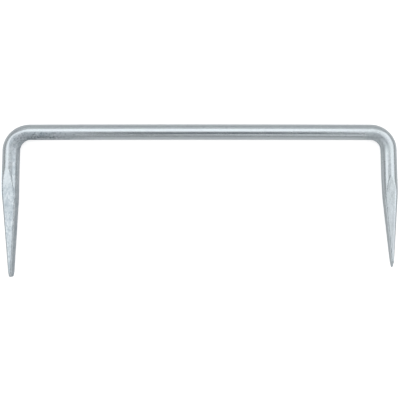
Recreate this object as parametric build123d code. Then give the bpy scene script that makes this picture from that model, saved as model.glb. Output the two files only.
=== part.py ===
from build123d import *
from dataclasses import dataclass
from math import cos, radians, sin
import os

os.makedirs("parts", exist_ok=True)

# A log dog: one length of round steel bar with both ends forged to four-sided spikes and bent
# down, so that it bridges two timbers. It lies on its side: the bar runs along X, the legs point
# towards -Y and +Z is across the bar. Lengths are millimetres and angles are degrees.

# Sizes of the whole dog
overall_length = 200.0      # over the outsides of the two legs
bar_diameter = 7.8          # round bar sold as 8 mm, near the thin end of its rolling tolerance
run_in = 4.0                # how far the spike's tool reaches above the place where its flats begin


@dataclass
class Flats:
    """One four-sided section of a spike, a rectangle with rounded corners."""

    width: float            # across the leg, in the plane of the dog
    depth: float            # through the dog, from face to face
    inner_corner: float     # radius left on the two edges that face between the legs
    outer_corner: float     # radius left on the two outer edges, which the hammer reaches less
    set_in: float           # how far its centre lies inside the plain leg's axis


@dataclass
class Shoulder:
    """The first, steeper stretch of the flats, which takes most of the metal off the leg."""

    length: float           # from where the flats begin
    off_width: float        # beaten off across the leg by the end of the shoulder
    off_depth: float        # beaten off through the leg by the end of the shoulder
    inner_corner: float     # as in Flats
    outer_corner: float
    set_in: float           # how far its end lies inside the plain leg's axis


@dataclass
class Leg:
    """One end of the bar: its bend, the plain leg and the spike."""

    drop: float             # from the top of the bar down to the tip
    bend_radius: float      # of the bend, on the bar's centre line
    splay: float            # lean of the leg outwards from square to the bar
    leg_width: float        # the hot bar spreads to this width in the plane of the dog
    plain_length: float     # plain leg between the bend and the flats
    facet_turn: float       # how far the front flat is turned to face outwards
    shoulder: Shoulder
    nose_length: float      # last stretch, where the spike is cut off and its edges are beaten in
    nose: Flats
    tip: Flats


left_leg = Leg(
    drop=77.0,
    bend_radius=9.7,
    splay=1.5,
    leg_width=8.7,
    plain_length=8.9,
    facet_turn=11.5,
    shoulder=Shoulder(
        length=13.0, off_width=0.8, off_depth=2.8, inner_corner=0.5, outer_corner=1.2, set_in=0.1
    ),
    nose_length=2.2,
    nose=Flats(width=2.0, depth=4.1, inner_corner=0.4, outer_corner=0.9, set_in=1.6),
    tip=Flats(width=1.3, depth=2.4, inner_corner=0.35, outer_corner=0.45, set_in=1.6),
)

right_leg = Leg(
    drop=72.2,
    bend_radius=9.2,
    splay=1.6,
    leg_width=7.95,
    plain_length=13.2,
    facet_turn=0.0,
    shoulder=Shoulder(
        length=10.2, off_width=0.95, off_depth=2.2, inner_corner=0.5, outer_corner=1.6, set_in=0.0
    ),
    nose_length=3.0,
    nose=Flats(width=1.4, depth=3.6, inner_corner=0.6, outer_corner=0.65, set_in=0.05),
    tip=Flats(width=0.6, depth=1.4, inner_corner=0.2, outer_corner=0.2, set_in=0.05),
)


def oval(leg):
    """The plain leg's section: as thick as the bar, and spread in the plane of the dog."""
    return Ellipse(leg.leg_width / 2, bar_diameter / 2)


def oval_reach(leg, angle):
    """Distance from the leg's axis to a flat that just touches the oval, facing that angle."""
    across = leg.leg_width / 2 * cos(radians(angle))
    through = bar_diameter / 2 * sin(radians(angle))
    return (across**2 + through**2) ** 0.5


def bend_end(leg):
    """Where the bend ends and the leg starts, with the leg's axis as the plane's normal."""
    turn = radians(90.0 - leg.splay)
    place = (leg.bend_radius * sin(turn), leg.bend_radius * (cos(turn) - 1.0), 0)
    outward = (cos(radians(leg.splay)), sin(radians(leg.splay)), 0)
    down = (sin(radians(leg.splay)), -cos(radians(leg.splay)), 0)
    return Plane(origin=place, x_dir=outward, z_dir=down)


def spike_length(leg):
    """Length of the flats, from the leg's drop and what the bar, bend and plain leg take of it."""
    top = bend_end(leg)
    drop_of_spike = leg.drop - bar_diameter / 2 + top.origin.Y
    return drop_of_spike / cos(radians(leg.splay)) - leg.plain_length


def make_bend(leg):
    """Bend: the round bar carried round an arc while it spreads to the leg's oval."""
    path = RadiusArc((0, 0), bend_end(leg).origin, leg.bend_radius)
    round_end = Plane(origin=(0, 0, 0), x_dir=(0, 1, 0), z_dir=(1, 0, 0)) * Circle(bar_diameter / 2)
    return sweep([round_end, bend_end(leg) * oval(leg)], path=path, multisection=True)


def flat_section(leg, from_start, flats):
    """One section of the spike's four flats, at a distance along the leg from where they start."""
    outline = Rectangle(flats.width, flats.depth)
    outline = fillet(outline.vertices().group_by(Axis.X)[0], flats.inner_corner)
    outline = fillet(outline.vertices().group_by(Axis.X)[-1], flats.outer_corner)
    place = Pos(-flats.set_in, 0, leg.plain_length + from_start)
    return bend_end(leg) * (place * Rot(0, 0, -leg.facet_turn) * outline)


def shoulder_flats(leg, from_start):
    """The shoulder's flats at a distance from their start, where they just touch the oval."""
    share = from_start / leg.shoulder.length
    return Flats(
        width=2 * oval_reach(leg, leg.facet_turn) - share * leg.shoulder.off_width,
        depth=2 * oval_reach(leg, 90.0 - leg.facet_turn) - share * leg.shoulder.off_depth,
        inner_corner=leg.shoulder.inner_corner,
        outer_corner=leg.shoulder.outer_corner,
        set_in=share * leg.shoulder.set_in,
    )


def make_flats(leg):
    """The spike's four flats as a tapered block: shoulder, long taper and nose."""
    length = spike_length(leg)
    sections = [
        flat_section(leg, -run_in, shoulder_flats(leg, -run_in)),
        flat_section(leg, leg.shoulder.length, shoulder_flats(leg, leg.shoulder.length)),
        flat_section(leg, length - leg.nose_length, leg.nose),
        flat_section(leg, length, leg.tip),
    ]
    return loft(sections, ruled=True)


def make_leg(leg):
    """The plain leg and its spike, cut from one oval blank."""
    top = bend_end(leg)
    plain = extrude(top * oval(leg), leg.plain_length - run_in)
    blank_start = top * (Pos(0, 0, leg.plain_length - run_in) * oval(leg))
    blank = extrude(blank_start, spike_length(leg) + run_in)
    return plain + (blank & make_flats(leg))


def make_end(leg):
    """One whole end, with the bar's end at the origin and the leg towards +X and -Y."""
    return make_bend(leg) + make_leg(leg)


def make_forged_bar():
    """The dog: straight bar between its two ends, laid on its side and centred."""
    left_end = make_end(left_leg)
    right_end = make_end(right_leg)
    left_reach = left_end.bounding_box().max.X
    right_reach = right_end.bounding_box().max.X
    bar_length = overall_length - left_reach - right_reach
    bar = Plane.YZ * extrude(Circle(bar_diameter / 2), bar_length)
    dog = bar + Pos(bar_length, 0, 0) * right_end + mirror(left_end, about=Plane.YZ)
    box = dog.bounding_box()
    return Pos(-box.center().X, -box.center().Y, -box.min.Z) * dog


forged_bar = make_forged_bar()
export_step(forged_bar, "parts/forged_bar.step")
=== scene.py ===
import bpy
import numpy as np
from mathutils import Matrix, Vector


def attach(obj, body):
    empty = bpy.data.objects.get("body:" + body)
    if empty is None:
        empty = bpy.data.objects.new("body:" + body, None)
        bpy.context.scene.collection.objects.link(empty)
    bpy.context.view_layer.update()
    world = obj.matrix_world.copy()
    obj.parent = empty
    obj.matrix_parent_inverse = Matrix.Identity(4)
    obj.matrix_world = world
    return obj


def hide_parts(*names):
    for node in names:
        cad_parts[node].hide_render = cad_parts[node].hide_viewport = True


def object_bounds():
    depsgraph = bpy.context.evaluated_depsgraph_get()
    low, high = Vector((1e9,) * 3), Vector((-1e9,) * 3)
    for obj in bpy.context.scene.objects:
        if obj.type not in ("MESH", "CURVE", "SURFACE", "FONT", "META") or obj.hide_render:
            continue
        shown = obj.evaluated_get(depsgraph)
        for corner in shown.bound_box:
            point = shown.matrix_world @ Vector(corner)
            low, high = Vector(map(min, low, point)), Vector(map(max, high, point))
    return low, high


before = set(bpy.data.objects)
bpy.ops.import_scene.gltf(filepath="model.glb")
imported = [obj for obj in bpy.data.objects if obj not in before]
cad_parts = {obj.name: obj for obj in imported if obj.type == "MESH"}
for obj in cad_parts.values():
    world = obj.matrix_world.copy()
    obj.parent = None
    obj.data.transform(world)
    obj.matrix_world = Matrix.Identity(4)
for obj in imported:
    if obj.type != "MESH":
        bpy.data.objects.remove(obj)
cad_low, cad_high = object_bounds()

# The view: straight down on the dog as it lies on its side, square to the bar. The camera is close
# over the middle, so that each leg, being off to one side, shows a little of its inner face.
picture_width = 0.2025      # metres across the picture at the height of the bar's axis
picture_centre = (0.0002, 0.00023)
camera_height = 0.37        # above the bar's axis

lens = bpy.data.cameras.new("camera")
lens.type = "PERSP"
lens.sensor_width = 36.0
lens.lens = lens.sensor_width * camera_height / picture_width
lens.clip_start = 0.01
lens.clip_end = 20.0
bar_axis_height = (cad_low.z + cad_high.z) / 2
camera = bpy.data.objects.new("camera", lens)
camera.location = (*picture_centre, bar_axis_height + camera_height)
bpy.context.scene.collection.objects.link(camera)
bpy.context.scene.camera = camera


# The forged bar: one length of 8 mm mild steel bar, cold drawn, so round and smooth.
# Both ends are heated, drawn out to a four-sided spike with a hammer, and bent down over a former.
# The heat and the hammer leave the bends, legs and spikes a little uneven, where the bar stays true.
bar_radius = 3.9            # millimetres, as are all the sizes of the bar and its ends
bar_bow = 0.12              # rise of the bar's middle over its ends

left_end = {
    "drop": 77.0,           # top of the bar down to the tip
    "bend_radius": 9.7,     # on the centre line
    "splay": 1.5,           # degrees that the leg leans outwards
    "half_width": 4.35,     # of the plain leg, in the plane of the dog
    "plain": 8.9,           # plain leg between the bend and the flats
    "hammering": 1.0,       # how deep its dents are, as a share of their full depth
    "crease": 0.05,         # depth of the crease that the hammer's edge left along the V
    "rubbed": 1.0,          # how bright the spike's edges are rubbed
    "mottle": 0.9,          # how uneven the coat is
    "scaling": 1.0,         # how heavy the forge scale is
    "into_bar": 36.0,       # how far it reaches from the start of the bend into the bar
    "into_leg": 21.0,       # how far it reaches the other way, through the bend and into the leg
    "crown": 0.3,           # how far it reaches over the crown of the bend
    # The four flats at four places along the spike: where they start, the end of the shoulder, the
    # nose and the tip. The first two places count from where they start, the others from the tip.
    "flats": {
        "place": (0.0, 13.0, -2.2, 0.0),
        "half_width": (4.33, 3.93, 1.0, 0.65),
        "half_depth": (3.92, 2.52, 2.05, 1.4),
        "inner_edges": (0.8, 0.75, 0.75, 0.35),     # radius of the two that face between the legs
        "outer_edges": (1.4, 1.4, 0.95, 0.5),       # radius of the other two
        "set_in": (0.0, 0.1, 1.6, 1.6),             # how far the centre lies inside the leg's axis
        "turn": (11.5, 11.5, 14.0, 14.0),           # degrees that the front flat faces outwards
    },
}
right_end = {
    "drop": 72.2,
    "bend_radius": 9.2,
    "splay": 1.6,
    "half_width": 3.98,
    "plain": 13.2,
    "hammering": 0.5,
    "crease": 0.0,
    "rubbed": 0.2,
    "mottle": 0.18,
    "scaling": 0.7,
    "into_bar": 3.0,
    "into_leg": 20.0,
    "crown": 0.0,
    "flats": {
        "place": (0.0, 10.2, -3.0, 0.0),
        "half_width": (3.98, 3.5, 0.84, 0.3),
        "half_depth": (3.9, 2.8, 1.8, 0.7),
        "inner_edges": (0.8, 0.9, 0.75, 0.2),
        "outer_edges": (1.7, 1.7, 0.75, 0.2),
        "set_in": (0.0, -0.15, -0.1, 0.05),
        "turn": (0.0, 0.0, 0.0, 0.0),
    },
}

# How the flats are cut
taper_easing = 4.0          # length over which one taper of a spike runs into the next
crisp_length = 5.0          # last of the spike, where the tapers meet in lines instead
least_edge = 0.1            # radius that no edge goes below
v_crispness = 200.0         # how sharply the flats run out on the oval leg
tip_rounding = 0.3          # radius round the cut end of a tip

# What the forging leaves: height of the marks, length of one along the bar, how many go round it
long_dents = (0.05, 6.0, 5)
short_dents = (0.03, 2.6, 11)
scale_grain = (0.012, 0.9, 28)
crease_width = 0.09         # how far apart oval and flats lie where the crease is a third as deep

# Where the scale lies, and how much of it, and how much painted shade darkens the crease
inner_border = 0.05         # cosine of the angle round the bar at which its inner side starts
border_easing = 0.17        # by how much it falls until that side has fully set in
crown_place = 0.62          # share of the bend at which the scale reaches furthest over its crown
crown_spread = 0.33         # share of the bend from there to where it reaches a third as far
leg_thinning = 9.0          # length over which the scale runs out on the leg
bar_thinning = 1.3          # its reach into the bar over the length on which it runs out there
cut_scale = 0.6             # on the cut end of a tip
# Painted shade: the crease gets the dark specks and dull patches of scale, this much for each millimetre of
# its depth
painted_crease_shade = 20.0         # in the crease, for each millimetre of its depth

# How uneven the coat is, which each end's own mottle multiplies, except on the bar and as a least value
outer_mottle = 0.2          # on the outer side of bend and leg
inner_mottle = 0.6          # what the inner side adds to that
spike_mottle = 1.15         # down the spike
drawn_mottle = 0.1          # on the straight bar
# This least mottle also holds in the painted shade along the crease
scale_and_shade_mottle = 0.55        # least value where there is scale under it

# Where an edge is rubbed bright: one over its radius, where that starts and where it is full
soft_edge = 0.45
sharp_edge = 1.35
inner_rubbing = 0.4         # share that the edges between the legs get of it


def spaced(start, stop, step):
    """Evenly spaced stations from start up to but not including stop, about a step apart."""
    return np.linspace(start, stop, max(2, int(round(abs(stop - start) / step))), endpoint=False)


def ramp(value, start, stop):
    """0 at start, 1 at stop, straight between them and level beyond. Stop may be the smaller one."""
    return np.clip((value - start) / (stop - start), 0.0, 1.0)


def smooth(t):
    """A share from 0 to 1 with both of its ends eased: 3t^2 - 2t^3."""
    return t * t * (3.0 - 2.0 * t)


def end_stations(end):
    """Where the sections of one end lie, as distances along it from the end of the straight bar.

    The bend takes radius times turn, then come the plain leg and the spike, whose last
    millimetre has closer sections so that its rounded end is smooth."""
    turn = np.radians(90.0 - end["splay"])
    bend = end["bend_radius"] * turn
    leg_drop = end["drop"] - bar_radius - end["bend_radius"] * (1.0 - np.cos(turn))
    whole = bend + leg_drop / np.cos(np.radians(end["splay"]))
    near_tip = whole - 1.0
    stations = [spaced(0.0, near_tip, step=0.35), spaced(near_tip, whole, step=0.05), [whole]]
    return np.concatenate(stations), bend, whole


def dents(along, around, mark, seed):
    """Smooth bumps and hollows over the bar's skin, none further from it than the mark's height.

    A grid of random heights, one to each length of the mark along the bar and as many round it as
    the mark says, is blended between its four nearest heights with the weight 3t^2 - 2t^3."""
    height, length, turns = mark
    random = np.random.default_rng(seed)
    passed_over = 40.0      # rows of the grid before the first one that is used
    a = along / length + passed_over
    b = (around / (2.0 * np.pi) % 1.0) * turns
    heights = random.uniform(-1.0, 1.0, (int(a.max()) + 3, turns))
    ia, ib = np.floor(a).astype(int), np.floor(b).astype(int)
    wa, wb = smooth(a - ia), smooth(b - ib)
    near, far = ib % turns, (ib + 1) % turns
    low = heights[ia, near] * (1.0 - wb) + heights[ia, far] * wb
    high = heights[ia + 1, near] * (1.0 - wb) + heights[ia + 1, far] * wb
    return height * (low * (1.0 - wa) + high * wa)


def rounded_box_reach(way, half_width, half_depth, corner):
    """Distance from the centre of a rectangle with round corners to its outline, one way out.

    On a side it is half_width / |cos| or half_depth / |sin|. At a corner it is the far crossing
    of the ray d with the corner's circle round e: d.e + sqrt((d.e)^2 - |e|^2 + corner^2)."""
    above_nought = 1e-9
    dx, dy = np.abs(np.cos(way)) + above_nought, np.abs(np.sin(way)) + above_nought
    side = np.minimum(half_width / dx, half_depth / dy)
    ex, ey = half_width - corner, half_depth - corner
    reach_in = dx * ex + dy * ey
    round_reach = reach_in + np.sqrt(np.maximum(reach_in**2 - ex**2 - ey**2 + corner**2, 0.0))
    at_corner = (side * dx > ex) & (side * dy > ey)
    return np.where(at_corner, round_reach, side)


def outline_curvature(reach, step):
    """One over the radius of each section's outline, which lies at reach r, a step of angle apart.

    With r' for the slope of r and r'' for that of r', it is (r^2 + 2r'^2 - r r'') / (r^2 + r'^2)^1.5."""
    before, after = np.roll(reach, 1, axis=1), np.roll(reach, -1, axis=1)
    slope = (after - before) / (2.0 * step)
    change = (after - 2.0 * reach + before) / step**2
    return (reach**2 + 2.0 * slope**2 - reach * change) / (reach**2 + slope**2) ** 1.5


def inner_side(around, border):
    """1 on the side of the bar that faces between the legs, 0 on the outer side, eased between.

    The inner side starts where the cosine of the angle round the bar has fallen to the border."""
    return smooth(ramp(np.cos(around), border, border - border_easing))


def end_skin(end, angle, seed):
    """The skin of one end: positions outwards, up the page and through the dog, and its marks.

    The centre line is an arc and then a straight leg. Across it lies an oval that spreads through
    the bend, cut by the spike's four flats, a rounded rectangle turned about the leg. The nearer of
    the two is taken with a soft minimum, (a^-k + b^-k)^(-1/k), so that the flats run out on the oval
    in a V as a hammered taper does. Where the two are equal, a fine crease of depth e^-(d/w)^2 follows
    the V, and over it all lie the dents and the grain of the scale. The marks say how uneven the coat
    is, how far an edge is rubbed bright and how much scale there is, with the crease's painted shade counted
    in."""
    stations, bend, whole = end_stations(end)
    s = stations[:, None]
    turned = ramp(s, 0.0, bend)
    heading = turned * np.radians(90.0 - end["splay"])
    radius = end["bend_radius"]
    straight = np.clip(s - bend, 0.0, None)
    centre_x = radius * np.sin(heading) + straight * np.cos(heading)
    centre_y = radius * (np.cos(heading) - 1.0) - straight * np.sin(heading)
    outward_x, outward_y = np.sin(heading), np.cos(heading)

    from_flats = straight - end["plain"]
    length = whole - bend - end["plain"]
    places = np.array(end["flats"]["place"]) + np.array([0.0, 0.0, length, length])

    def along_flats(size):
        """A size of the flats at every station: straight tapers, carried on upwards above their
        start, and averaged over the easing length so that one taper runs into the next."""
        values = end["flats"][size]
        slope = (values[1] - values[0]) / places[1]
        steps = np.linspace(-taper_easing / 2, taper_easing / 2, 9)
        eased = 0.0
        for step in steps:
            place = np.minimum(from_flats + step, length)
            carried_on = values[0] + slope * place
            tapered = np.interp(place, places, values)
            eased = eased + np.where(place < 0.0, carried_on, tapered) / len(steps)
        exact = np.interp(from_flats, places, values)
        return np.where(from_flats > length - crisp_length, exact, eased)

    oval_width = bar_radius + (end["half_width"] - bar_radius) * smooth(turned)
    oval = ((np.cos(angle) / oval_width) ** 2 + (np.sin(angle) / bar_radius) ** 2) ** -0.5
    facing = angle + np.radians(along_flats("turn"))
    faces_in = np.cos(facing) < 0.0
    corner = np.where(faces_in, along_flats("inner_edges"), along_flats("outer_edges"))
    half_width, half_depth = along_flats("half_width"), along_flats("half_depth")
    flats = rounded_box_reach(facing, half_width, half_depth, np.maximum(corner, least_edge))
    reach = (oval**-v_crispness + flats**-v_crispness) ** (-1.0 / v_crispness)
    curvature = outline_curvature(reach, angle[1] - angle[0])

    # The dents set in along the bend, and are half as deep there and on the plain leg as on the spike.
    forged = ramp(s, 0.0, 0.6 * bend)
    on_spike = ramp(from_flats, 0.0, 8.0)
    dented = dents(s, angle, long_dents, seed) + dents(s, angle, short_dents, seed + 1)
    grain = dents(s, angle, scale_grain, seed + 2)
    relief = end["hammering"] * forged * (dented * (0.5 + 0.5 * on_spike) + grain)
    # The crease fades in below the point of the V, and out where its lines reach the leg's sides.
    along_v = ramp(from_flats, 1.5, 4.5) * ramp(from_flats, 22.0, 18.0)
    crease = along_v * np.exp(-((flats - oval) / crease_width) ** 2)
    reach = reach + relief * reach / bar_radius - end["crease"] * crease

    # At the cut end each section draws in by what a quarter circle leaves off.
    to_tip = ramp(s, whole, whole - tip_rounding)
    left_off = 1.0 - np.sqrt(np.clip(1.0 - (1.0 - to_tip) ** 2, 0.0, 1.0))
    reach = reach * (1.0 - left_off * tip_rounding / np.maximum(half_width, tip_rounding))

    set_in = np.where(from_flats < 0.0, 0.0, along_flats("set_in"))
    out = reach * np.cos(angle) - set_in
    x = centre_x + outward_x * out
    y = centre_y + outward_y * out
    z = np.clip(reach * np.sin(angle), -bar_radius, bar_radius)
    tip_x = (centre_x - outward_x * set_in)[-1, 0]
    tip_y = (centre_y - outward_y * set_in)[-1, 0]

    # Sharp edges of the spike are rubbed bright.
    rubbed = end["rubbed"] * np.where(faces_in, inner_rubbing, 1.0)
    edge = rubbed * on_spike * ramp(curvature, soft_edge, sharp_edge)
    # Scale lies inside the bend and on the cut end of the tip. Along the crease the same mark is painted
    # shade, which darkens it with specks and dull patches.
    over_crown = end["crown"] * np.exp(-((s / bend - crown_place) / crown_spread) ** 2)
    inner = inner_side(angle, inner_border + over_crown)
    near_bend = ramp(s, end["into_leg"], end["into_leg"] - leg_thinning)
    at_cut = ramp(s - whole, -2.0, -1.5)
    scale_and_crease_shade = end["scaling"] * inner * near_bend + cut_scale * at_cut
    scale_and_crease_shade = scale_and_crease_shade + painted_crease_shade * end["crease"] * crease
    # The coat is most uneven over scale, in the crease's painted shade and down the spike, and least on the
    # outer side of the bend.
    down_spike = ramp(from_flats, 1.0, 13.0)
    uneven = end["mottle"] * np.maximum(spike_mottle * down_spike, outer_mottle + inner_mottle * inner)
    uneven = np.maximum(uneven, scale_and_shade_mottle * scale_and_crease_shade)
    marks = np.stack([uneven, edge, scale_and_crease_shade], axis=2)
    return np.stack([x, y, z], axis=2), (tip_x, tip_y), stations, marks


columns = 160
angle = np.linspace(0.0, 2.0 * np.pi, columns, endpoint=False)
left_skin, left_tip, left_stations, left_marks = end_skin(left_end, angle, seed=11)
right_skin, right_tip, right_stations, right_marks = end_skin(right_end, angle, seed=23)

# The straight bar fills what the two ends leave of the dog's overall length.
to_mm = 1000.0              # millimetres in a metre
overall_length = (cad_high.x - cad_low.x) * to_mm
bar_length = overall_length - left_skin[..., 0].max() - right_skin[..., 0].max()
bar_x = spaced(0.0, bar_length, step=1.5)[1:]
from_middle = 2.0 * bar_x / bar_length - 1.0
rise = bar_bow * (1.0 - from_middle**2)
bx, bv = np.meshgrid(bar_x, angle, indexing="ij")
bar_skin = np.stack([bx, rise[:, None] + bar_radius * np.cos(bv), bar_radius * np.sin(bv)], axis=2)

left_half = left_skin[::-1] * np.array([-1.0, 1.0, 1.0])
right_half = right_skin + np.array([bar_length, 0.0, 0.0])
skin = np.concatenate([left_half, bar_skin, right_half])


def scale_into_bar(end, from_bend):
    """How much scale there is on the bar's inner side, at a distance from the bend: all of it at
    first, and then less and less until its reach ends."""
    reach = end["into_bar"]
    return end["scaling"] * ramp(from_bend, reach, reach - reach / bar_thinning)


bar_inside = inner_side(bv, inner_border)
left_scale = bar_inside * scale_into_bar(left_end, bx)
right_scale = bar_inside * scale_into_bar(right_end, bar_length - bx)
bar_scaled = left_scale + right_scale
bar_uneven = left_scale * left_end["mottle"] + right_scale * right_end["mottle"]
bar_uneven = np.maximum(bar_uneven, scale_and_shade_mottle * bar_scaled) + drawn_mottle
bar_marks = np.stack([bar_uneven, np.zeros_like(bx), bar_scaled], axis=2)
tip_marks = [1.0, 1.0, 0.0]
marks = np.concatenate([left_marks[::-1], bar_marks, right_marks]).reshape(-1, 3)
marks = np.concatenate([marks, [tip_marks, tip_marks]])
along = np.concatenate([-left_stations[::-1], bar_x, bar_length + right_stations])

# The leftmost leg touches the left of the dog's box, the bar its top, and the bar's axis the middle.
leftmost = cad_low.x * to_mm - skin[..., 0].min()
topmost = cad_high.y * to_mm - bar_radius - bar_bow
shift = np.array([leftmost, topmost, bar_axis_height * to_mm])
tips = np.array([[-left_tip[0], left_tip[1], 0.0], [bar_length + right_tip[0], right_tip[1], 0.0]])
points = np.concatenate([skin.reshape(-1, 3), tips]) + shift

# Four-sided faces between neighbouring rings of points, and a fan round the middle of each cut tip
rings = len(skin)
i, j = np.meshgrid(np.arange(rings - 1), np.arange(columns), indexing="ij")
k = (j + 1) % columns
corners = [i * columns + j, i * columns + k, (i + 1) * columns + k, (i + 1) * columns + j]
quads = np.stack(corners, axis=2).reshape(-1, 4)
first_ring = np.arange(columns)
next_along = (first_ring + 1) % columns
last_ring = (rings - 1) * columns + first_ring
next_along_last = (rings - 1) * columns + next_along
left_pole = np.full(columns, rings * columns)
left_fan = np.stack([left_pole, next_along, first_ring], axis=1)
right_fan = np.stack([left_pole + 1, last_ring, next_along_last], axis=1)

mesh = bpy.data.meshes.new("forged_bar")
faces = quads.tolist() + left_fan.tolist() + right_fan.tolist()
mesh.from_pydata((points / to_mm).tolist(), [], faces)
mesh.polygons.foreach_set("use_smooth", np.ones(len(mesh.polygons), dtype=bool))

# Where each point lay on the straight bar before it was bent, in millimetres: drawn lines follow it.
across = np.stack([bar_radius * np.cos(angle), bar_radius * np.sin(angle)], axis=1)
unbent = np.concatenate([
    np.repeat(along[:, None, None], columns, axis=1),
    np.repeat(across[None, :, :], rings, axis=0),
], axis=2).reshape(-1, 3)
unbent = np.concatenate([unbent, [[along[0], 0.0, 0.0], [along[-1], 0.0, 0.0]]])
unbent_layer = mesh.attributes.new("unbent", "FLOAT_VECTOR", "POINT")
unbent_layer.data.foreach_set("vector", unbent.astype(np.float32).ravel())
# How uneven the coat is at each point, how bright an edge it lies on, and how much scale is under it, with
# the crease's painted shade counted in
worked_layer = mesh.attributes.new("worked", "FLOAT_VECTOR", "POINT")
worked_layer.data.foreach_set("vector", marks.astype(np.float32).ravel())
mesh.update()
forged_bar = bpy.data.objects.new("forged_bar_skin", mesh)
bpy.context.scene.collection.objects.link(forged_bar)


def linear(hex_colour):
    """A colour written as sRGB hex, as linear red, green, blue and alpha."""
    value = np.array([int(hex_colour[n:n + 2], 16) for n in (0, 2, 4)]) / 255.0
    value = np.where(value <= 0.04045, value / 12.92, ((value + 0.055) / 1.055) ** 2.4)
    return (*value.tolist(), 1.0)


def add_node(tree, kind, settings=None, links=None):
    """Adds one node, sets its properties and sockets, and links its inputs, by name or number."""
    node = tree.nodes.new(kind)
    for name, value in (settings or {}).items():
        if isinstance(name, int) or name in node.inputs:
            node.inputs[name].default_value = value
        else:
            setattr(node, name, value)
    for name, source in (links or {}).items():
        tree.links.new(source, node.inputs[name])
    return node


# Bright electroplated zinc: a bluish white coat of metal a few micrometres thick. It mirrors the light
# in long crisp bands on the drawn bar. On the forged ends it grew dull over scale and bright between,
# which breaks the bands up into a mottle.
zinc = bpy.data.materials.new("electroplated_zinc")
zinc.use_nodes = True
tree = zinc.node_tree
metal = tree.nodes["Principled BSDF"]
metal.inputs["Metallic"].default_value = 1.0
place = add_node(tree, "ShaderNodeAttribute", {"attribute_name": "unbent"}).outputs["Vector"]
worked = add_node(tree, "ShaderNodeAttribute", {"attribute_name": "worked"}).outputs["Vector"]
worked_parts = add_node(tree, "ShaderNodeSeparateXYZ", None, {"Vector": worked}).outputs
uneven, edge, scale_and_crease_shade = worked_parts["X"], worked_parts["Y"], worked_parts["Z"]

# Lines that the drawing die left, a third of a millimetre apart and a centimetre or two long, and
# the coarser ones, a millimetre apart, along which the scale breaks up where the bar is bent
lines_per_mm = (0.12, 3.0, 3.0)
lines = add_node(tree, "ShaderNodeMapping", {"Scale": lines_per_mm}, {"Vector": place}).outputs["Vector"]
drawn = add_node(tree, "ShaderNodeTexNoise", {"Scale": 1.0, "Detail": 3.0}, {"Vector": lines})
broken = add_node(tree, "ShaderNodeTexNoise", {"Scale": 0.35, "Detail": 2.0}, {"Vector": lines})

# Dull patches over scale, a millimetre or two across, crowded into clouds of 5 mm
patches_per_mm = 0.7
clouds_per_mm = 0.2
patch_noise = {"noise_dimensions": "4D", "W": 4.0, "Scale": patches_per_mm, "Detail": 3.0, "Roughness": 0.6}
patch = add_node(tree, "ShaderNodeTexNoise", patch_noise, {"Vector": place})
cloud_noise = {"noise_dimensions": "4D", "W": 12.0, "Scale": clouds_per_mm, "Detail": 2.0}
cloud = add_node(tree, "ShaderNodeTexNoise", cloud_noise, {"Vector": place})
crowding = {"From Min": 0.3, "From Max": 0.7, "To Min": -0.09, "To Max": 0.09}
crowded = add_node(tree, "ShaderNodeMapRange", crowding, {"Value": cloud.outputs["Fac"]})
patchy = add_node(tree, "ShaderNodeMath", {"operation": "ADD"},
                  {0: patch.outputs["Fac"], 1: crowded.outputs["Result"]})
dull_spots = add_node(tree, "ShaderNodeMapRange", {"From Min": 0.35, "From Max": 0.66},
                      {"Value": patchy.outputs["Value"]})
dull = add_node(tree, "ShaderNodeMath", {"operation": "MULTIPLY"},
                {0: dull_spots.outputs["Result"], 1: uneven})

# Dark specks of bare scale and small pits, half a millimetre across, thickest inside the bends,
# where they run together along the lines of broken scale, and along the crease, where they are painted shade
specks_per_mm = 1.7
speck_noise = {"noise_dimensions": "4D", "W": 15.0, "Scale": specks_per_mm, "Detail": 2.0, "Roughness": 0.6}
speck = add_node(tree, "ShaderNodeTexNoise", speck_noise, {"Vector": place})
line_strength = 0.5
line_level = -0.14
lined = add_node(tree, "ShaderNodeMath", {"operation": "MULTIPLY_ADD", 1: line_strength, 2: line_level},
                 {0: broken.outputs["Fac"]})
thick = add_node(tree, "ShaderNodeMath", {"operation": "MULTIPLY_ADD"},
                 {0: scale_and_crease_shade, 1: lined.outputs["Value"], 2: speck.outputs["Fac"]})
dark_spots = add_node(tree, "ShaderNodeMapRange", {"From Min": 0.6, "From Max": 0.76},
                      {"Value": thick.outputs["Value"]})
dark = add_node(tree, "ShaderNodeMath", {"operation": "MULTIPLY"},
                {0: dark_spots.outputs["Result"], 1: uneven})

# The coat's colour, bluish and greenish by turns, then over scale, on rubbed edges and in specks. In a
# Mix node, the two colours and what comes of them have these numbers, because their names are not unique.
mix_from, mix_to, mixed = 6, 7, 2
clean_coat = {"data_type": "RGBA", mix_from: linear("c7cdd5"), mix_to: linear("ced8d9")}
dull_coat = {"data_type": "RGBA", mix_to: linear("abb6be")}
rubbed_coat = {"data_type": "RGBA", mix_to: linear("dae1e5")}
bare_scale_and_crease_shade = {"data_type": "RGBA", mix_to: linear("727c84")}
tint = add_node(tree, "ShaderNodeMix", clean_coat, {"Factor": cloud.outputs["Fac"]}).outputs[mixed]
over_scale = add_node(tree, "ShaderNodeMix", dull_coat,
                      {"Factor": dull.outputs["Value"], mix_from: tint}).outputs[mixed]
rubbed = add_node(tree, "ShaderNodeMix", rubbed_coat, {"Factor": edge, mix_from: over_scale}).outputs[mixed]
# Along the crease these dark specks are painted shade
specked = add_node(tree, "ShaderNodeMix", bare_scale_and_crease_shade,
                   {"Factor": dark.outputs["Value"], mix_from: rubbed}).outputs[mixed]
tree.links.new(specked, metal.inputs["Base Color"])

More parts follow.
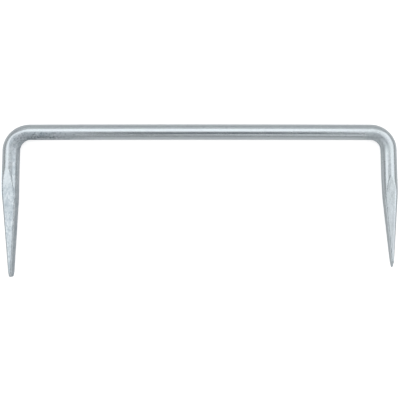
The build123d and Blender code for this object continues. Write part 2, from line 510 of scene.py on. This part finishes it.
# Satin gloss, rougher where the coat is dull and over scale, and streaked along the drawn lines
scale_roughness = 0.26
dull_roughness = add_node(tree, "ShaderNodeMapRange", {"To Min": 0.24, "To Max": 0.34},
                          {"Value": dull.outputs["Value"]})
coat_roughness = add_node(tree, "ShaderNodeMath", {"operation": "MULTIPLY_ADD", 1: scale_roughness},
                          {0: scale_and_crease_shade, 2: dull_roughness.outputs["Result"]})
streaking = {"From Min": 0.3, "From Max": 0.7, "To Min": -0.05, "To Max": 0.05}
streaks = add_node(tree, "ShaderNodeMapRange", streaking, {"Value": drawn.outputs["Fac"]})
satin = add_node(tree, "ShaderNodeMath", {"operation": "ADD"},
                 {0: coat_roughness.outputs["Value"], 1: streaks.outputs["Result"]})
tree.links.new(satin.outputs["Value"], metal.inputs["Roughness"])

# Fine relief: specks stand highest, patches at three tenths of that, drawn lines at a tenth
speck_height = 0.000012     # metres
patch_share = 0.3
line_share = 0.1
spots = add_node(tree, "ShaderNodeMath", {"operation": "MULTIPLY_ADD", 1: patch_share},
                 {0: patch.outputs["Fac"], 2: speck.outputs["Fac"]})
spotted = add_node(tree, "ShaderNodeMath", {"operation": "MULTIPLY"}, {0: spots.outputs["Value"], 1: uneven})
relief = add_node(tree, "ShaderNodeMath", {"operation": "MULTIPLY_ADD", 1: line_share},
                  {0: drawn.outputs["Fac"], 2: spotted.outputs["Value"]})
bump = add_node(tree, "ShaderNodeBump", {"Distance": speck_height}, {"Height": relief.outputs["Value"]})
tree.links.new(bump.outputs["Normal"], metal.inputs["Normal"])
mesh.materials.append(zinc)

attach(forged_bar, "root")
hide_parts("forged_bar")


# The table: a plain pale floor. It glows enough to show white to the camera, and a little where the
# steel mirrors it, and still keeps the dog's soft shadow.
floor_half = 4.0            # metres
square = [(-1.0, -1.0), (1.0, -1.0), (1.0, 1.0), (-1.0, 1.0)]
floor_mesh = bpy.data.meshes.new("floor")
floor_mesh.from_pydata([(x * floor_half, y * floor_half, 0.0) for x, y in square], [], [(0, 1, 2, 3)])
floor = bpy.data.objects.new("floor", floor_mesh)
bpy.context.scene.collection.objects.link(floor)

glow_seen = 0.68            # where 1 is white
glow_mirrored = 0.08
white = bpy.data.materials.new("white_table")
white.use_nodes = True
tree = white.node_tree
tree.nodes.remove(tree.nodes["Principled BSDF"])
ray = add_node(tree, "ShaderNodeLightPath").outputs
seen = add_node(tree, "ShaderNodeMath", {"operation": "MULTIPLY", 1: glow_seen}, {0: ray["Is Camera Ray"]})
strength = add_node(tree, "ShaderNodeMath", {"operation": "MULTIPLY_ADD", 1: glow_mirrored},
                    {0: ray["Is Glossy Ray"], 2: seen.outputs["Value"]})
plain = add_node(tree, "ShaderNodeBsdfDiffuse", {"Color": linear("d4d4d4")})
glow = add_node(tree, "ShaderNodeEmission", None, {"Strength": strength.outputs["Value"]})
both = add_node(tree, "ShaderNodeAddShader", None, {0: plain.outputs["BSDF"], 1: glow.outputs["Emission"]})
tree.links.new(both.outputs["Shader"], tree.nodes["Material Output"].inputs["Surface"])
floor_mesh.materials.append(white)


# The light: a pale tent round the dog. Long soft lamps over its far edge and at both sides draw the
# bright bands, and weaker ones overhead and over the near edge lighten the steel between them. The
# camera looks in through a dark opening in the tent's top.
tent_light = 0.45           # on the dog, where 1 is the white that the camera sees
tent = bpy.data.worlds.new("tent")
bpy.context.scene.world = tent
tent.use_nodes = True
tree = tent.node_tree
ray = add_node(tree, "ShaderNodeLightPath").outputs
level = add_node(tree, "ShaderNodeMapRange", {"To Min": tent_light, "To Max": 1.0},
                 {"Value": ray["Is Camera Ray"]})
background = tree.nodes["Background"]
background.inputs["Color"].default_value = (1.0, 1.0, 1.0, 1.0)
tree.links.new(level.outputs["Result"], background.inputs["Strength"])


def add_lamp(name, lean, tilt, distance, size, brightness):
    """A flat soft lamp that faces the dog, turned by tilt towards +Y and then by lean towards +X.

    Its size is given along the lean and along the tilt. A rectangle of radiance L gives pi times L
    watts for each square metre."""
    lamp = bpy.data.lights.new(name, "AREA")
    lamp.shape = "RECTANGLE"
    lamp.size, lamp.size_y = size
    lamp.energy = np.pi * brightness * size[0] * size[1]
    lean, tilt = np.radians(lean), np.radians(tilt)
    thing = bpy.data.objects.new(name, lamp)
    way = np.array([np.sin(lean) * np.cos(tilt), np.sin(tilt), np.cos(lean) * np.cos(tilt)])
    thing.location = distance * way
    thing.rotation_euler = (-tilt, lean, 0.0)
    thing.visible_camera = False
    bpy.context.scene.collection.objects.link(thing)


# Name, lean and tilt in degrees, distance and size in metres, and brightness
lamps = [
    ("far_lamp", -1.0, 26.5, 1.0, (0.8, 0.7), 1.02),
    ("far_wall", 0.0, 62.0, 1.0, (1.6, 0.45), 0.25),
    ("near_lamp", 25.0, -45.5, 1.0, (0.7, 0.3), 0.44),
    ("near_fill", -32.0, -38.0, 1.0, (0.28, 0.3), 0.9),
    ("top_lamp", -2.3, 3.5, 1.0, (0.42, 0.13), 0.36),
    ("left_lamp", -41.5, 5.0, 3.0, (2.12, 3.3), 0.89),
    ("right_lamp", 47.0, 8.0, 1.0, (0.7, 1.2), 0.85),
    ("right_fill", 24.0, -6.0, 1.0, (0.21, 0.5), 0.85),
]
for lamp in lamps:
    add_lamp(*lamp)

opening_half = (0.13, 0.1)  # metres
opening_place = (0.035, -0.121)
opening_height = camera_height + 0.03
opening_mesh = bpy.data.meshes.new("tent_opening")
opening_points = [(x * opening_half[0], y * opening_half[1], 0.0) for x, y in square]
opening_mesh.from_pydata(opening_points, [], [(0, 1, 2, 3)])
opening = bpy.data.objects.new("tent_opening", opening_mesh)
opening.location = (*opening_place, opening_height)
opening.visible_camera = False
opening.visible_shadow = False
opening.visible_diffuse = False
bpy.context.scene.collection.objects.link(opening)
gloom = bpy.data.materials.new("dark_opening")
gloom.use_nodes = True
tree = gloom.node_tree
tree.nodes.remove(tree.nodes["Principled BSDF"])
dim = add_node(tree, "ShaderNodeEmission", {"Color": linear("73777b")})
tree.links.new(dim.outputs["Emission"], tree.nodes["Material Output"].inputs["Surface"])
opening_mesh.materials.append(gloom)

bpy.context.scene.view_settings.view_transform = "Standard"
